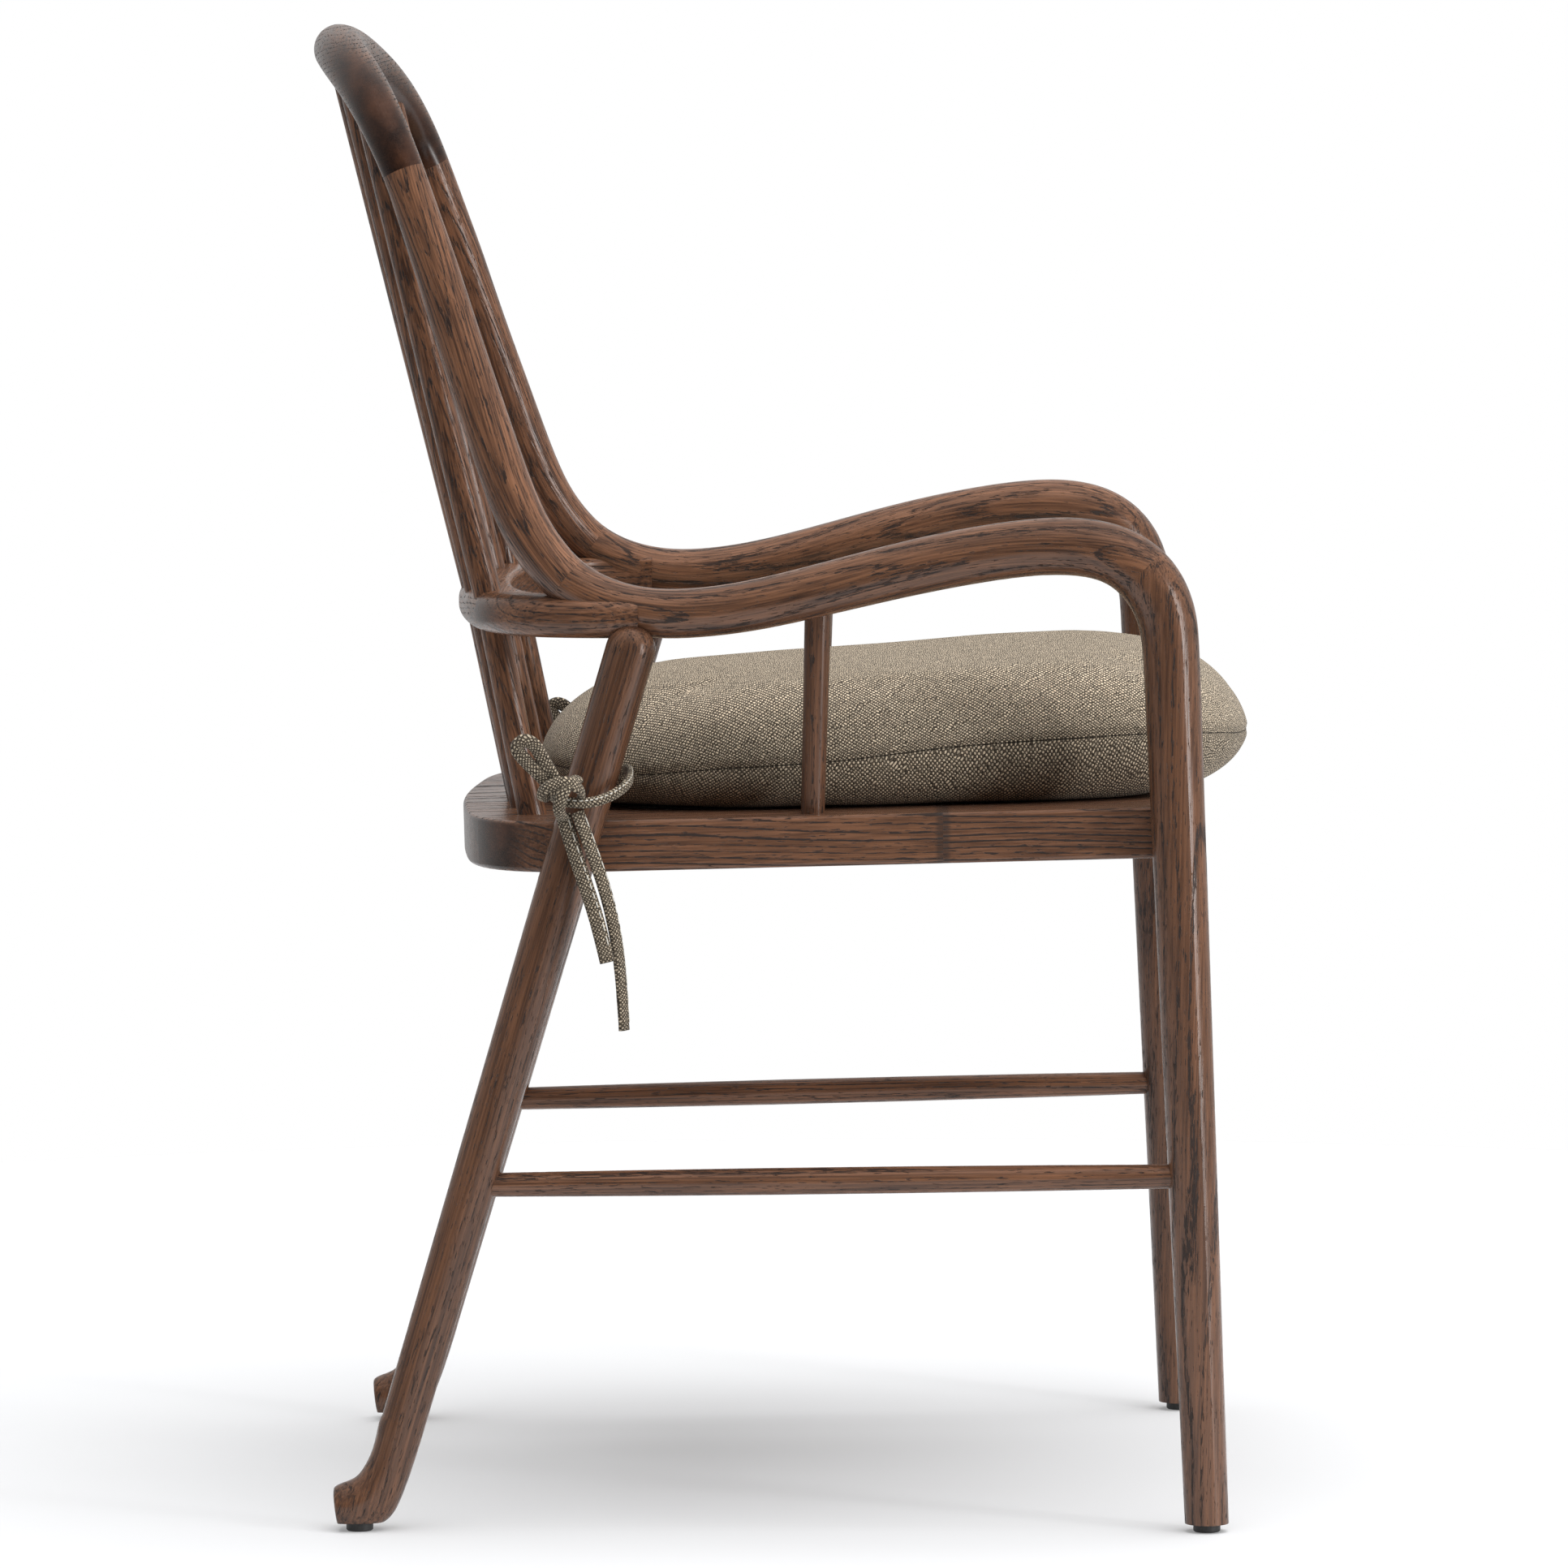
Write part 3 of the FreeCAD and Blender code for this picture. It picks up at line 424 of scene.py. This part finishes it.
def panel(top):
    """Grid of points of one panel, its cloth coordinates and distance inside the seam.

    Each ray from the middle runs flat, then curls over to the seam; the curl is tighter or
    fuller at the front, the sides and the back.
    """
    side = np.linspace(-1, 1, CELLS + 1)
    u, v = (grid.ravel() for grid in np.meshgrid(side, side, indexing="ij"))
    shell = np.maximum(np.abs(u), np.abs(v))
    ring = np.rint(shell * CELLS / 2).astype(int)
    safe = np.maximum(shell, 1e-9)
    bu, bv = np.where(ring > 0, u / safe, 1.0), v / safe
    power = np.where(bv < 0, 4.2, 2.9)
    reach = (np.abs(bu) ** power + np.abs(bv) ** power) ** (-1 / power)
    length = np.where(bv < 0, FRONT_RUN, REAR_RUN)
    out_x, out_y = HALF_WIDTH * bu * reach, length * bv * reach
    radius = np.hypot(out_x, out_y)
    front = np.clip(-out_y / FRONT_RUN, 0, 1) ** 3
    rear = np.clip(out_y / REAR_RUN, 0, 1) ** 3
    side_curl, front_more, rear_more, rise = TOP_CURL if top else LOWER_CURL
    curl = side_curl + front_more * front + rear_more * rear
    flat = radius - curl
    bend = math.pi / 2 * np.sqrt((curl ** 2 + rise ** 2) / 2)
    run = ring / (CELLS / 2) * (flat + bend)
    angle = np.clip((run - flat) / bend, 0, 1) * math.pi / 2
    share = np.where(run < flat, run, flat + curl * np.sin(angle)) / radius
    x, y = share * out_x, CENTRE_Y + share * out_y
    seam_z = table(SEAM, CENTRE_Y + out_y)
    crown = table(CROWN, y) - 0.013 * (x / HALF_WIDTH) ** 2
    goal = crown if top else seat_top(y) + SEAT_GAP
    z = seam_z + (goal - seam_z) * np.cos(angle)

    across = np.sign(bu) * np.abs(bu * reach) ** (power - 1) / HALF_WIDTH
    along = np.sign(bv) * np.abs(bv * reach) ** (power - 1) / length
    outward = np.stack([across, along], axis=1) / np.hypot(across, along)[:, None]
    extra = run - share * radius
    cloth = np.stack([share * out_x, share * out_y], axis=1) + outward * extra[:, None]
    return np.stack([x, y, z], axis=1), cloth, flat + bend - run, ring


def cushion_mesh(materials):
    """Both panels joined along the seam, one closed skin."""
    top, cloth_top, inside_top, ring = panel(True)
    low, cloth_low, inside_low, ring = panel(False)
    rings = CELLS // 2
    count = len(top)
    is_seam = ring == rings
    index_low = np.where(is_seam, np.arange(count), 0)
    free = np.flatnonzero(~is_seam)
    index_low[free] = count + np.arange(len(free))
    points = np.concatenate([top, low[free]])
    cloth = np.concatenate([cloth_top, cloth_low[free]])
    inside = np.concatenate([inside_top, -inside_low[free]])
    faces = []
    for i in range(CELLS):
        for j in range(CELLS):
            a = i * (CELLS + 1) + j
            quad = (a, a + CELLS + 1, a + CELLS + 2, a + 1)
            faces.append(quad)
            faces.append(tuple(int(index_low[k]) for k in reversed(quad)))
    piece = make_mesh("seat_cushion", points, faces, materials)
    set_attribute(piece.data, "cloth", "FLOAT_VECTOR", np.pad(cloth, ((0, 0), (0, 1))))
    set_attribute(piece.data, "seam", "FLOAT", inside)
    return piece, np.flatnonzero(is_seam)


def mesh_points(mesh):
    points = np.empty(len(mesh.vertices) * 3)
    mesh.vertices.foreach_get("co", points)
    return points.reshape(-1, 3)


def even_out(mesh, moved, rounds=12):
    """Average each point's move with its neighbours' a few times."""
    ends = np.empty(len(mesh.edges) * 2, dtype=int)
    mesh.edges.foreach_get("vertices", ends)
    ends = ends.reshape(-1, 2)
    both = np.concatenate([ends, ends[:, ::-1]])
    count = np.bincount(both[:, 0], minlength=len(moved))[:, None]
    for _ in range(rounds):
        total = [np.bincount(both[:, 0], moved[both[:, 1], k], len(moved)) for k in range(3)]
        moved = (moved + np.stack(total, axis=1) / count) / 2
    return moved


def puff(piece, seam_points, cap):
    """Blow the cushion up a little against its seam and keep the shape it takes."""
    start = mesh_points(piece.data)
    group = piece.vertex_groups.new(name="held")
    group.add([int(i) for i in seam_points], 1.0, "REPLACE")
    cloth = piece.modifiers.new("puff", "CLOTH")
    cloth.settings.quality = 6
    cloth.settings.mass = 0.3
    cloth.settings.tension_stiffness = 20
    cloth.settings.compression_stiffness = 20
    cloth.settings.bending_stiffness = 1.2
    cloth.settings.use_pressure = True
    cloth.settings.uniform_pressure_force = 4.0
    cloth.settings.effector_weights.gravity = 0.0
    cloth.settings.vertex_group_mass = "held"
    scene = bpy.context.scene
    for number in range(1, 21):
        scene.frame_set(number)
    shown = piece.evaluated_get(bpy.context.evaluated_depsgraph_get())
    moved = even_out(piece.data, mesh_points(shown.data) - start)
    piece.modifiers.remove(cloth)
    piece.vertex_groups.remove(group)
    scene.frame_set(1)
    length = np.linalg.norm(moved, axis=1)
    keep = cap * np.tanh(length / cap) / np.maximum(length, 1e-9)
    piece.data.vertices.foreach_set("co", (start + moved * keep[:, None]).ravel())


def settle(piece):
    """Pull the seam in, pucker it, and lay the underside flat on the seat."""
    points = mesh_points(piece.data)
    inside = np.array([d.value for d in piece.data.attributes["seam"].data])
    normals = np.array([v.vector for v in piece.data.vertex_normals])
    angle = np.arctan2(points[:, 1] - CENTRE_Y, points[:, 0])
    near = np.exp(-np.abs(inside) / 0.012)
    pucker = sum(np.sin(angle * k + p) for k, p in ((41, 0.3), (67, 1.7), (97, 4.0), (29, 2.2))) / 4
    groove = 0.0016 * np.exp(-((inside / 0.0035) ** 2))
    wave = sum(np.sin(angle * k + p) for k, p in ((5, 0.8), (9, 2.9), (14, 5.1))) / 3
    broad = 0.0012 * wave * np.exp(-((inside - 0.05) / 0.04) ** 2)
    push = 0.0007 * near * pucker * np.sign(np.abs(inside)) - groove + broad
    points = points + normals * push[:, None]
    lowest = seat_top(points[:, 1]) + FLATTENED_GAP
    points[:, 2] = np.maximum(points[:, 2], lowest)
    piece.data.vertices.foreach_set("co", points.ravel())
    piece.data.update()


def subdivide(piece):
    smooth = piece.modifiers.new("smooth", "SUBSURF")
    smooth.levels = smooth.render_levels = 1
    shown = piece.evaluated_get(bpy.context.evaluated_depsgraph_get())
    mesh = bpy.data.meshes.new_from_object(shown, preserve_all_data_layers=True,
                                           depsgraph=bpy.context.evaluated_depsgraph_get())
    piece.modifiers.remove(smooth)
    piece.data = mesh


def cushion():
    piece, seam_points = cushion_mesh([weave("cushion_weave", 0.00150, 1.0, "seam")])
    puff(piece, seam_points, PUFF_CAP)
    settle(piece)
    subdivide(piece)
    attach(piece, "root")
    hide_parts("cushion_cover", "cushion_foam")


# ---- ties -----------------------------------------------------------------------------------
TAIL_THICKNESS = 0.0046
STITCH_SIDES = 6


def smooth_line(name, points):
    """Points of the NURBS line that has these control points."""
    curve = bpy.data.curves.new(name, "CURVE")
    curve.dimensions = "3D"
    curve.resolution_u = 10
    spline = curve.splines.new("NURBS")
    spline.points.add(len(points) - 1)
    for knot, point in zip(spline.points, points):
        knot.co = (*point, 1.0)
    spline.order_u = 3
    spline.use_endpoint_u = True
    holder = bpy.data.objects.new(name, curve)
    mesh = bpy.data.meshes.new_from_object(holder)
    line = [v.co.copy() for v in mesh.vertices]
    bpy.data.objects.remove(holder)
    bpy.data.curves.remove(curve)
    bpy.data.meshes.remove(mesh)
    return line


def tape(name, line, flats, width, thickness, material):
    """Soft folded tape swept along a line; flats are the ways its broad side faces, in turn."""
    sides = 16
    rings, cloth, centres = [], [], []
    run = 0.0
    for i, point in enumerate(line):
        ahead = line[min(i + 1, len(line) - 1)] - line[max(i - 1, 0)]
        tangent = ahead.normalized()
        share = i / (len(line) - 1) * (len(flats) - 1)
        first = min(int(share), len(flats) - 2)
        face = Vector(flats[first]).lerp(Vector(flats[first + 1]), share - first)
        face = (face - tangent * face.dot(tangent)).normalized()
        across = tangent.cross(face)
        if i:
            run += (point - line[i - 1]).length
        swell = 1 + 0.05 * math.sin(run * 260) + 0.04 * math.sin(run * 610 + 1)
        for k in range(sides):
            angle = 2 * math.pi * k / sides
            w = math.copysign(abs(math.cos(angle)) ** 0.75, math.cos(angle)) * width / 2
            t = math.copysign(abs(math.sin(angle)) ** 0.9, math.sin(angle)) * thickness / 2 * swell
            rings.append(point + across * w + face * t)
            cloth.append((run, w if math.sin(angle) >= 0 else width - w, 0.0))
        centres.append((point, across, face))
    faces = []
    last = len(line) - 1
    for i in range(last):
        for k in range(sides):
            a, b = i * sides + k, i * sides + (k + 1) % sides
            faces.append((a, b, b + sides, a + sides))
    faces.append(tuple(reversed(range(sides))))
    faces.append(tuple(range(last * sides, last * sides + sides)))
    piece = make_mesh(name, rings, faces, [material])
    set_attribute(piece.data, "cloth", "FLOAT_VECTOR", cloth)
    return piece, centres


def stitches(name, centres, offset, lift, material):
    """A row of short stitches along a tape's broad side, each with tapered ends."""
    points, faces = [], []
    for i in range(1, len(centres) - 3, 3):
        (a, across, face), (b, _, _) = centres[i], centres[i + 2]
        a, b = a + across * offset + face * lift, b + across * offset + face * lift
        start = len(points)
        along = b - a
        for share, size in ((0.0, 0.4), (0.2, 1.0), (0.8, 1.0), (1.0, 0.4)):
            for k in range(STITCH_SIDES):
                angle = 2 * math.pi * k / STITCH_SIDES
                points.append(a + along * share + (across * math.cos(angle) * 0.00042
                                                   + face * math.sin(angle) * 0.0003) * size)
        for ring in range(3):
            for k in range(STITCH_SIDES):
                p = start + ring * STITCH_SIDES + k
                q = start + ring * STITCH_SIDES + (k + 1) % STITCH_SIDES
                faces.append((p, q, q + STITCH_SIDES, p + STITCH_SIDES))
        faces.append(tuple(reversed(range(start, start + STITCH_SIDES))))
        faces.append(tuple(range(start + 3 * STITCH_SIDES, start + 4 * STITCH_SIDES)))
    return make_mesh(name, points, faces, [material])


def tie(side, flip, fabric, cotton):
    """Everything tied round one back leg; each part has its line, the ways its broad side
    faces along it, its width and its thickness."""
    def on_side(vectors):
        return [(x * flip, y, z) for x, y, z in vectors]

    out = (1.0, 0.0, 0.0)
    parts = {
        "loop": (LOOPS[side], [out, out], 0.0090, 0.0062),
        "band": (BAND, [out, out, (0.8, -0.5, 0.1), (0.3, -0.9, 0.1), (0, -1, 0.2)],
                 0.0068, 0.0042),
        "back_strap": (BACK_STRAP, [(0, 1, 0), (0, 1, 0.2)], 0.0085, 0.0040),
        "knot_wrap": (KNOT_WRAP, [(0, 1, 0.2), (0.5, 0.5, 0.3), (1, 0, 0.3), (0.5, -0.8, 0.3),
                                  (-0.2, -1, 0)], 0.0085, 0.0046),
        "knot_cross": (KNOT_CROSS, [(0.5, -0.3, 1), (1, 0, 0.5), (1, 0, -0.2), (0.5, 0, -1)],
                       0.0080, 0.0046),
    }
    made = {}
    for part, (points, flats, width, thickness) in parts.items():
        line = smooth_line(part, on_side(points))
        name = f"tie_{part}_{side}"
        made[part], rows = tape(name, line, on_side(flats), width, thickness, fabric)
        if part == "band":
            name = f"tie_band_stitch_{side}"
            made["band_stitch"] = stitches(name, rows, -0.0016, 0.0021, cotton)
    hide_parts(f"tie_loop_{side}")
    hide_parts(f"tie_band_{side}")
    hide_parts(f"tie_knot_{side}")
    for piece in made.values():
        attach(piece, "root")

    swing = -1.0 if side == "right" else 1.0
    flats = {"long": [(0.9, 0.5 * swing, 0), (0.8, 0.6 * swing, 0), (0.6, 0.8 * swing, 0)],
             "short": [(1, -0.1 * swing, 0), out, (0.95, 0.2 * swing, 0)]}
    widths = {"long": 0.0092, "short": 0.0098}
    for length_name, points in TAILS[side].items():
        line = smooth_line(length_name, on_side(points))
        name = f"tie_tail_{length_name}_{side}"
        piece, rows = tape(f"{name}_tape", line, on_side(flats[length_name]),
                           widths[length_name], TAIL_THICKNESS, fabric)
        stitch = stitches(f"{name}_stitch", rows, -0.0030, 0.0023, cotton)
        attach(piece, "root")
        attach(stitch, "root")
        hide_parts(name)


# ---- camera, floor, light ---------------------------------------------------------------------
EYE = (-6.26947, -0.0607, 0.96489)
FOCAL_LENGTH = 214.56            # mm, on a sensor 36 mm wide
FLOOR_RADIUS = 1.9


def camera():
    """The photograph's view: from the chair's right, level with its crest, a long way off."""
    lens = bpy.data.cameras.new("camera")
    lens.sensor_width = 36.0
    lens.lens = FOCAL_LENGTH
    lens.clip_end = 200.0
    eye = bpy.data.objects.new("camera", lens)
    right = Vector((0.009088, -0.999932, -0.007322))
    up = Vector((0.079453, -0.006577, 0.996817))
    ahead = Vector((0.996797, 0.009641, -0.079387))
    turn = Matrix((right, up, -ahead)).transposed()
    eye.matrix_world = Matrix.Translation(EYE) @ turn.to_4x4()
    bpy.context.scene.collection.objects.link(eye)
    bpy.context.scene.camera = eye


def floor():
    """White disc that glows a little, so that its edge runs into the backdrop."""
    g = Graph(bpy.data.materials.new("floor_paint"))
    place = g.node("ShaderNodeTexCoord").outputs["Object"]
    mottle = g.noise(g.stretch(place, (3.0, 3.0, 3.0)), 2.0)
    colour = g.mix(mottle, (0.505, 0.51, 0.52, 1), (0.525, 0.53, 0.54, 1))
    g.put(g.shader.inputs["Base Color"], colour)
    g.shader.inputs["Emission Color"].default_value = (1, 1, 1, 1)
    g.shader.inputs["Emission Strength"].default_value = 0.22
    g.shader.inputs["Roughness"].default_value = 0.75
    g.shader.inputs["Specular IOR Level"].default_value = 0.2
    turns = np.linspace(0, 2 * math.pi, 65)[:-1]
    corners = [(FLOOR_RADIUS * math.cos(a), FLOOR_RADIUS * math.sin(a), 0.0) for a in turns]
    make_mesh("floor", corners, [tuple(range(64))], [g.owner])


def light():
    """White backdrop, a room bright above and behind, a wide high sun and a tall softbox.

    The sun stands for the soft light of the whole ceiling, so it makes no highlights.
    """
    g = Graph(bpy.data.worlds.new("studio"))
    way = g.node("ShaderNodeTexCoord").outputs["Generated"]
    parts = g.node("ShaderNodeSeparateXYZ", (0, way))
    glow = g.math("MULTIPLY_ADD", parts.outputs[0], 0.32, 0.33)
    glow = g.math("MULTIPLY_ADD", parts.outputs[2], 0.18, glow)
    room = g.node("ShaderNodeBackground", (0, (1, 1, 1, 1)), (1, g.math("MAXIMUM", glow, 0.05)))
    backdrop = g.node("ShaderNodeBackground", (0, (1, 1, 1, 1)), (1, 1.0))
    seen = g.node("ShaderNodeLightPath").outputs["Is Camera Ray"]
    choose = g.node("ShaderNodeMixShader", (0, seen), (1, room.outputs[0]),
                    (2, backdrop.outputs[0]))
    g.put(g.tree.nodes["World Output"].inputs["Surface"], choose.outputs[0])
    bpy.context.scene.world = g.owner

    sun = bpy.data.lights.new("high_sun", "SUN")
    sun.energy = 3.85
    sun.angle = math.radians(64)
    softbox = bpy.data.lights.new("softbox", "AREA")
    softbox.shape = "RECTANGLE"
    softbox.size, softbox.size_y = 0.42, 1.9
    softbox.energy = 46.0
    for lamp, place, aim in ((sun, (-0.20, -0.22, 1.0), (0, 0, 0)),
                             (softbox, (-2.0, -2.9, 0.85), (0, 0, 0.5))):
        holder = bpy.data.objects.new(lamp.name, lamp)
        holder.location = place
        holder.rotation_euler = (Vector(place) - Vector(aim)).to_track_quat("Z", "Y").to_euler()
        holder.visible_camera = False
        holder.visible_glossy = lamp is softbox
        bpy.context.scene.collection.objects.link(holder)
    bpy.context.scene.view_settings.view_transform = "Standard"


# ---- put it together ----------------------------------------------------------------------------
camera()
floor()
light()
stain_wood()
for pegs in ("hoop_dowels", "seat_dowels", "back_dowels"):
    paint(pegs, plain_wood())
for which in ("front_right", "front_left", "rear_right", "rear_left"):
    paint(f"glide_{which}", black_plastic())
cushion()
tape_cloth, stitch_cotton = weave("tie_weave", 0.00130, 0.66), thread()
for which, way in SIDES:
    tie(which, way, tape_cloth, stitch_cotton)
